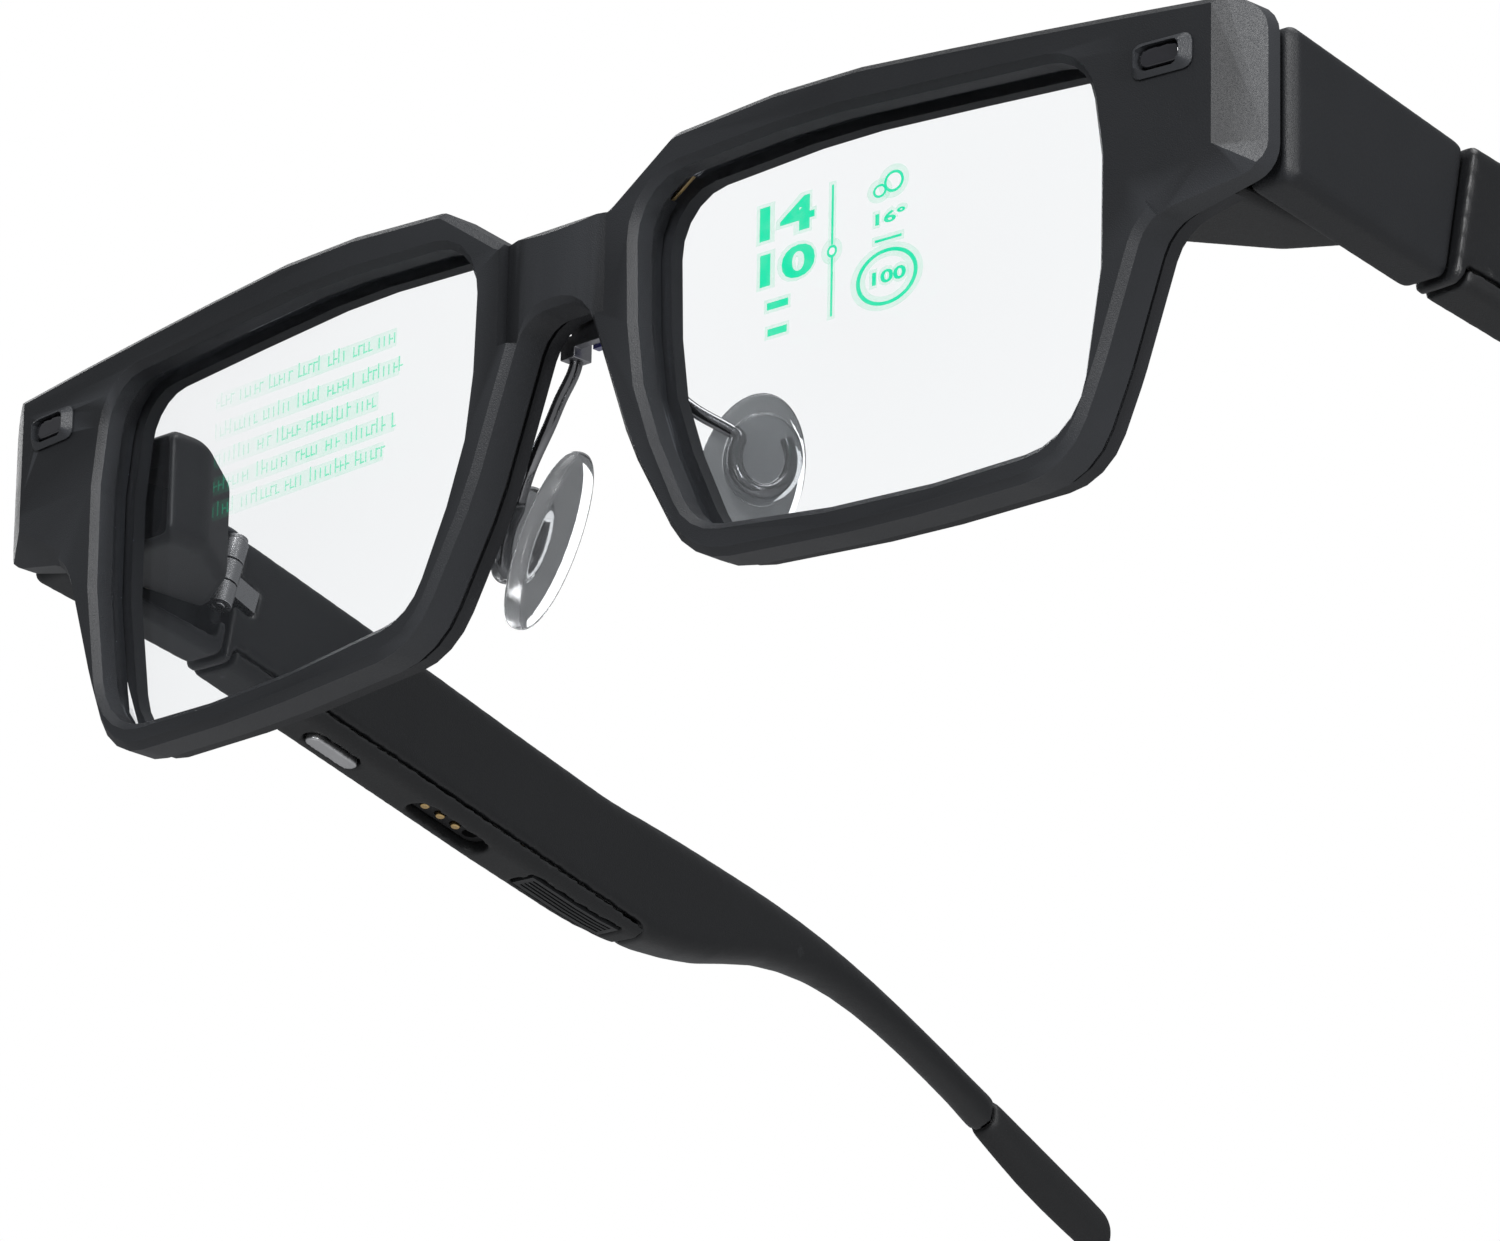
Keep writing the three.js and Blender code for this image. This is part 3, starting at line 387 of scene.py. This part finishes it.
random.seed(4)
faded = glow("display_rows", 0.62, fade=(-0.0445, 0.014))
faded_halo = glow("display_rows_halo", 0.16, fade=(-0.0445, 0.014))
rows = (
    (-0.0029, -0.0200),
    (-0.0055, -0.0196),
    (-0.0079, -0.0220),
    (-0.0102, -0.0200),
    (-0.0124, -0.0212),
)
for row, (level, right_end) in enumerate(rows):
    strokes = []
    x = -0.0425
    while x < right_end:
        for _ in range(random.randint(3, 9)):
            tall = random.choice((0.0009, 0.0009, 0.0009, 0.0013))
            bpy.ops.mesh.primitive_plane_add(size=1.0, rotation=(math.pi / 2, 0.0, 0.0))
            stroke = bpy.context.object
            stroke.location = (x, 0.0, lens_level + level + tall / 2)
            stroke.scale = (0.00016, tall, 1.0)
            strokes.append(stroke)
            if random.random() < 0.55:
                bpy.ops.mesh.primitive_plane_add(size=1.0, rotation=(math.pi / 2, 0.0, 0.0))
                cross = bpy.context.object
                rise = random.choice((0.0001, 0.00045, 0.0008))
                cross.location = (x + 0.00024, 0.0, lens_level + level + rise)
                cross.scale = (0.00044, 0.00015, 1.0)
                strokes.append(cross)
            x += 0.00062
            if x > right_end:
                break
        x += 0.0006
    bpy.ops.object.select_all(action="DESELECT")
    for stroke in strokes:
        stroke.select_set(True)
    bpy.context.view_layer.objects.active = strokes[0]
    bpy.ops.object.transform_apply(location=True, rotation=True, scale=True)
    bpy.ops.object.join()
    laid_on_lens(bpy.context.object, f"word_row_{row + 1}", 0.0001, faded)
    long = right_end + 0.0425
    middle_x, middle_z = right_end - long / 2, lens_level + level + 0.00045
    bar(f"word_row_{row + 1}_halo", middle_x, middle_z, long, 0.0016, 0.00013, faded_halo)

# ---------------------------------------------------------------- sensors
# Each end piece has a glossy dark window over a small sensor, and the bridge has one for the nose.
# The modules behind them are potted in black resin; the ribbon over the rims is a gilt flex cable.
def dark_glass(name, colour):
    paint = Paint(name)
    place = paint.node("ShaderNodeTexCoord", output="Object")
    cloud = paint.node("ShaderNodeTexNoise", {"Vector": place, "Scale": 700.0})
    deep = [c * 0.4 for c in colour]
    tone = {0: cloud, 6: (*deep, 1.0), 7: (*colour, 1.0)}
    paint.node("shader", {
        "Base Color": paint.node("ShaderNodeMix", tone, 2, data_type="RGBA"),
        "Roughness": cloud * 0.06 + 0.06,
        "Coat Weight": 1.0,
        "Coat Roughness": 0.03,
    })
    return paint.material


def metal(name, colour, roughness, brush=(1.0, 1.0, 1.0), depth=0.00002):
    """Bare metal with brush marks, which brush stretches along the axes with low values."""
    paint = Paint(name)
    place = paint.node("ShaderNodeTexCoord", output="Object")
    stretched = paint.node("ShaderNodeMapping", {"Vector": place, "Scale": brush})
    marks = paint.node("ShaderNodeTexNoise", {"Vector": stretched, "Scale": 5000.0, "Detail": 3.0})
    cloud = paint.node("ShaderNodeTexNoise", {"Vector": place, "Scale": 500.0})
    dull = [c * 0.75 for c in colour]
    tone = {0: cloud * 0.6 + marks * 0.4, 6: (*dull, 1.0), 7: (*colour, 1.0)}
    bump = {"Height": marks, "Distance": depth, "Strength": 0.4}
    paint.node("shader", {
        "Base Color": paint.node("ShaderNodeMix", tone, 2, data_type="RGBA"),
        "Metallic": 1.0,
        "Roughness": marks * 0.14 + (roughness - 0.07),
        "Normal": paint.node("ShaderNodeBump", bump),
    })
    return paint.material


def board_green(name):
    paint = Paint(name)
    place = paint.node("ShaderNodeTexCoord", output="Object")
    tracks = paint.node("ShaderNodeTexBrick", {
        "Vector": place, "Scale": 260.0, "Mortar Size": 0.06,
        "Color1": (0.010, 0.070, 0.035, 1.0), "Color2": (0.014, 0.095, 0.050, 1.0),
        "Mortar": (0.30, 0.22, 0.10, 1.0),
    })
    edge = paint.node("ShaderNodeTexNoise", {"Vector": place, "Scale": 2400.0})
    bump = {"Height": edge, "Distance": 0.00003, "Strength": 0.5}
    paint.node("shader", {
        "Base Color": tracks,
        "Roughness": edge * 0.2 + 0.35,
        "Normal": paint.node("ShaderNodeBump", bump),
    })
    return paint.material


window_black = dark_glass("window_black", (0.012, 0.012, 0.016))
potted_black = moulded("potted_black", (0.008, 0.008, 0.009), 0.7, grain=0.0001, edge=0.1)
gilt = metal("gilt", (0.72, 0.50, 0.22), 0.28, brush=(0.1, 1.0, 1.0))
for side in ("left", "right"):
    cover = finished_copy(f"{side}_sensor_glass", f"{side}_sensor_window", 0.00012, 3)
    dress(cover, window_black)
    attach(cover, "frame")
    dress(nodes[f"{side}_sensor_module"], potted_black)
dress(nodes["brow_flex_cable"], gilt)
violet_glass = dark_glass("violet_glass", (0.06, 0.06, 0.30))
dress(nodes["wear_sensor_window"], violet_glass)

# ---------------------------------------------------------------- nose bracket
# A small stamped steel plate under the bridge, held by two slotted screws.
# Its two tabs carry the pad wires, which are soldered into them.
stamped_steel = metal("stamped_steel", (0.42, 0.42, 0.44), 0.3, brush=(0.15, 1.0, 1.0))
for node in ("nose_bracket", "left_bracket_screw", "right_bracket_screw"):
    name = node.replace("nose_bracket", "nose_plate").replace("screw", "screw_head")
    plate = finished_copy(name, node, angle=30.0)
    bevel = plate.modifiers.new("edge", "BEVEL")
    bevel.width = 0.00007
    bevel.segments = 2
    bevel.limit_method = "ANGLE"
    bpy.ops.object.modifier_apply(modifier="edge")
    dress(plate, stamped_steel)
    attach(plate, "frame")


# ---------------------------------------------------------------- nose pad wires
# One springy chromed wire a side: out of the bracket's tab, down and back, then a loop in the pad.
# The loop's plane is the pad's own plane, which leans in and back to lie along the nose.
dark_chrome = metal("dark_chrome", (0.30, 0.30, 0.31), 0.16, brush=(1.0, 1.0, 0.2))
bridge_y = -0.077564
brow_z = 0.036811
pad_centre = Vector((0.0112, 0.0116 + bridge_y, -0.0195 + brow_z))
boss_centre = Vector((0.0136, 0.0105 + bridge_y, -0.0188 + brow_z))
pad_long = Vector((0.08, -0.38, -0.92)).normalized()
pad_normal = (boss_centre - pad_centre)
pad_normal = (pad_normal - pad_normal.project(pad_long)).normalized()
pad_across = pad_long.cross(pad_normal)
wire_radius = 0.00055
lead = (
    (0.0040, 0.0071, -0.0070),
    (0.0041, 0.0071, -0.0081),
    (0.0056, 0.0070, -0.0097),
    (0.0066, 0.0069, -0.0121),
    (0.0092, 0.0072, -0.0148),
)


def mirrored(piece):
    """Turns a left piece into a right one, with its faces outwards again."""
    bpy.ops.object.select_all(action="DESELECT")
    piece.select_set(True)
    bpy.context.view_layer.objects.active = piece
    piece.scale = (-1.0, 1.0, 1.0)
    bpy.ops.object.transform_apply(location=True, rotation=True, scale=True)
    bpy.ops.object.mode_set(mode="EDIT")
    bpy.ops.mesh.select_all(action="SELECT")
    bpy.ops.mesh.normals_make_consistent(inside=False)
    bpy.ops.object.mode_set(mode="OBJECT")
    return piece


for side in ("left", "right"):
    bpy.ops.curve.primitive_nurbs_path_add()
    wire = bpy.context.object
    wire.name = f"{side}_pad_wire"
    spots = [Vector((x, y + bridge_y, z + brow_z)) for x, y, z in lead]
    for step in range(13):
        turn = math.radians(-28.0 + 262.0 * step / 12)
        across, along = 0.0023 * math.cos(turn), 0.0032 * math.sin(turn)
        spots.append(boss_centre + pad_across * across + pad_long * along)
    wire.data.splines.clear()
    spline = wire.data.splines.new("NURBS")
    spline.points.add(len(spots) - 1)
    for point, spot in zip(spline.points, spots):
        point.co = (*spot, 1.0)
    spline.use_endpoint_u = True
    spline.order_u = 4
    spline.resolution_u = 8
    wire.data.bevel_depth = wire_radius
    wire.data.bevel_resolution = 5
    wire.data.use_fill_caps = True
    bpy.ops.object.convert(target="MESH")
    bpy.ops.object.transform_apply(location=True, rotation=True, scale=True)
    if side == "right":
        mirrored(wire)
    bpy.ops.object.shade_smooth_by_angle(angle=math.radians(50.0))
    dress(wire, dark_chrome)
    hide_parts(f"{side}_nose_wire")
    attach(wire, "frame")


# ---------------------------------------------------------------- nose pads
# Soft clear silicone cast round the wire's loop: a domed oval pad with an oval boss behind it.
# It takes on a grey cast from what is behind, with faint flow marks in the casting.
def clear_silicone(name):
    paint = Paint(name)
    place = paint.node("ShaderNodeTexCoord", output="Object")
    flow = paint.node("ShaderNodeTexNoise", {"Vector": place, "Scale": 420.0, "Detail": 2.0})
    tone = {0: flow, 6: (0.56, 0.57, 0.58, 1.0), 7: (0.66, 0.67, 0.68, 1.0)}
    bump = {"Height": flow, "Distance": 0.00008, "Strength": 0.25}
    paint.node("shader", {
        "Base Color": paint.node("ShaderNodeMix", tone, 2, data_type="RGBA"),
        "Roughness": flow * 0.08 + 0.05,
        "IOR": 1.15,
        "Transmission Weight": 0.9,
        "Normal": paint.node("ShaderNodeBump", bump),
    })
    return paint.material


silicone = clear_silicone("clear_silicone")
pad_turn = Matrix((pad_across, pad_long, pad_normal)).transposed().to_4x4()


def oval_plate(width, length, thickness, rounding, centre):
    bpy.ops.mesh.primitive_cylinder_add(vertices=56, radius=0.5, depth=1.0)
    plate = bpy.context.object
    plate.scale = (width, length, thickness)
    bpy.ops.object.transform_apply(scale=True)
    edge = plate.modifiers.new("edge", "BEVEL")
    edge.width = rounding
    edge.segments = 5
    edge.limit_method = "ANGLE"
    edge.angle_limit = math.radians(60.0)
    bpy.ops.object.modifier_apply(modifier="edge")
    plate.matrix_world = Matrix.Translation(centre) @ pad_turn
    bpy.ops.object.transform_apply(location=True, rotation=True, scale=True)
    return plate


for side in ("left", "right"):
    boss = oval_plate(0.0064, 0.0088, 0.0018, 0.0006, boss_centre)
    disc = oval_plate(0.0086, 0.0170, 0.0016, 0.00065, pad_centre)
    bpy.ops.object.select_all(action="DESELECT")
    boss.select_set(True)
    disc.select_set(True)
    bpy.context.view_layer.objects.active = disc
    bpy.ops.object.join()
    disc.name = f"{side}_silicone_pad"
    melt = disc.modifiers.new("melt", "REMESH")
    melt.mode = "VOXEL"
    melt.voxel_size = 0.0002
    bpy.ops.object.modifier_apply(modifier="melt")
    soften = disc.modifiers.new("soften", "SMOOTH")
    soften.iterations = 6
    bpy.ops.object.modifier_apply(modifier="soften")
    bpy.ops.object.shade_smooth()
    if side == "right":
        mirrored(disc)
    dress(disc, silicone)
    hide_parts(f"{side}_nose_pad")
    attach(disc, "frame")

# ---------------------------------------------------------------- end piece housings
# A box behind each end piece that carries the hinge and hides the wiring into the temple.
# It is moulded in the same satin black, with soft corners all round.
for side in ("left", "right"):
    shroud = finished_copy(f"{side}_end_shroud", f"{side}_end_housing", 0.00025, 7)
    dress(shroud, satin_black)
    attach(shroud, "frame")

# ---------------------------------------------------------------- light engines
# Each engine sits behind the outer edge of its lens under a soft rounded cover.
# Inside it are the projector block, the prism that feeds the waveguide, and a driver board.
cover_black = moulded("cover_black", (0.013, 0.0135, 0.0145), 0.5, edge=0.25)
engine_green = board_green("engine_green")
for side, sign in (("left", 1), ("right", -1)):
    cover = finished_copy(f"{side}_engine_shroud", f"{side}_engine_cover", 0.0003, 14)
    dress(cover, cover_black)
    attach(cover, "frame")
    dress(nodes[f"{side}_light_engine"], potted_black)
    prism_middle = (sign * -2.3, 2.7, -1.2)
    prism_glass = clear_plate(f"{side}_prism_glass", (0.9, 0.92, 0.93), 0.0, prism_middle)
    dress(nodes[f"{side}_coupling_prism"], prism_glass)
    dress(nodes[f"{side}_engine_board"], engine_green)

# ---------------------------------------------------------------- hinges
# Three-knuckle hinges in turned steel: the outer knuckles belong to the end piece, the middle one
# to the temple, and a headed pin runs through all three. Their skin shows fine turning marks.
turned_steel = metal("turned_steel", (0.56, 0.56, 0.57), 0.27, brush=(1.0, 1.0, 6.0))
for side in ("left", "right"):
    hinge_pieces = (
        ("hinge_bracket", "frame"),
        ("hinge_pin", "frame"),
        ("hinge_leaf", f"{side}_temple"),
    )
    for node, body in hinge_pieces:
        knuckle = finished_copy(f"{side}_{node}_steel", f"{side}_{node}", angle=32.0)
        edge = knuckle.modifiers.new("edge", "BEVEL")
        edge.width = 0.00006
        edge.segments = 2
        edge.limit_method = "ANGLE"
        edge.angle_limit = math.radians(40.0)
        bpy.ops.object.modifier_apply(modifier="edge")
        dress(knuckle, turned_steel)
        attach(knuckle, body)

# ---------------------------------------------------------------- temples
# A deep hollow arm of satin black nylon that narrows to the ear, on a steel core wire.
# Its inner and outer faces are nearly flat, and its long edges are well rounded.
temple_black = moulded("temple_black", (0.0085, 0.009, 0.010), 0.32, edge=0.2, specular=0.45)
for side in ("left", "right"):
    arm = finished_copy(f"{side}_temple_arm", f"{side}_temple_shell", 0.00034, 10)
    dress(arm, temple_black)
    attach(arm, f"{side}_temple")
    dress(nodes[f"{side}_temple_core"], turned_steel)

# ---------------------------------------------------------------- temple undersides
# A long cover closes the electronics bay from below; a slotted grille lets the speaker out.
# The speaker, cell and board lie inside: a black block, a wrapped cell and a green board.
cell_wrap = metal("cell_wrap", (0.55, 0.57, 0.60), 0.4, brush=(0.4, 0.4, 0.4))
temple_green = board_green("temple_green")
strip_black = moulded("strip_black", (0.0115, 0.012, 0.013), 0.5, edge=0.25)
for side in ("left", "right"):
    strip = finished_copy(f"{side}_under_cover", f"{side}_temple_cover", 0.00025, 3)
    dress(strip, strip_black)
    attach(strip, f"{side}_temple")
    slots = finished_copy(f"{side}_slotted_grille", f"{side}_speaker_grille", angle=25.0)
    dress(slots, strip_black)
    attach(slots, f"{side}_temple")
    dress(nodes[f"{side}_speaker"], potted_black)
    dress(nodes[f"{side}_battery_cell"], cell_wrap)
    dress(nodes[f"{side}_temple_board"], temple_green)


# ---------------------------------------------------------------- ear tips
# A rubber sleeve over the end of each arm, with a matte skin that grips behind the ear.
# Its moulding has a coarser, deeper grain than the nylon of the arm.
def soft_rubber(name, colour):
    paint = Paint(name)
    place = paint.node("ShaderNodeTexCoord", output="Object")
    grain = paint.node("ShaderNodeTexNoise", {"Vector": place, "Scale": 6500.0, "Detail": 4.0})
    cloud = paint.node("ShaderNodeTexNoise", {"Vector": place, "Scale": 90.0})
    deep = [c * 0.8 for c in colour]
    tone = {0: cloud, 6: (*deep, 1.0), 7: (*colour, 1.0)}
    bump = {"Height": grain, "Distance": 0.00008, "Strength": 0.7}
    paint.node("shader", {
        "Base Color": paint.node("ShaderNodeMix", tone, 2, data_type="RGBA"),
        "Roughness": grain * 0.12 + 0.5,
        "Normal": paint.node("ShaderNodeBump", bump),
        "Specular IOR Level": 0.35,
    })
    return paint.material


tip_black = soft_rubber("tip_black", (0.0125, 0.013, 0.014))
for side in ("left", "right"):
    sleeve = finished_copy(f"{side}_ear_sleeve", f"{side}_tip_sleeve", 0.0003, 14)
    dress(sleeve, tip_black)
    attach(sleeve, f"{side}_temple")

# ---------------------------------------------------------------- power button
# An oblong blasted aluminium cap that stands a little proud of the right temple's underside.
# It presses a switch on the board behind it.
blasted = metal("blasted", (0.62, 0.62, 0.63), 0.36, depth=0.00004)
button = finished_copy("button_cap", "power_button", 0.00012, 4)
dress(button, blasted)
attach(button, "button")
dress(nodes["button_switch"], potted_black)

# ---------------------------------------------------------------- charging port
# A recessed black insert with a row of gilt contacts and a hole with a magnet under it.
# It sits flush in the cover, so a magnetic plug finds it by feel.
insert = finished_copy("port_insert", "charging_port", angle=30.0)
dress(insert, potted_black)
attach(insert, "right_temple")
for number in (1, 2, 3):
    pin = finished_copy(f"contact_pin_{number}", f"charging_contact_{number}", angle=40.0)
    rim = pin.modifiers.new("rim", "BEVEL")
    rim.width = 0.00012
    rim.segments = 3
    rim.limit_method = "ANGLE"
    bpy.ops.object.modifier_apply(modifier="rim")
    dress(pin, gilt)
    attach(pin, "right_temple")
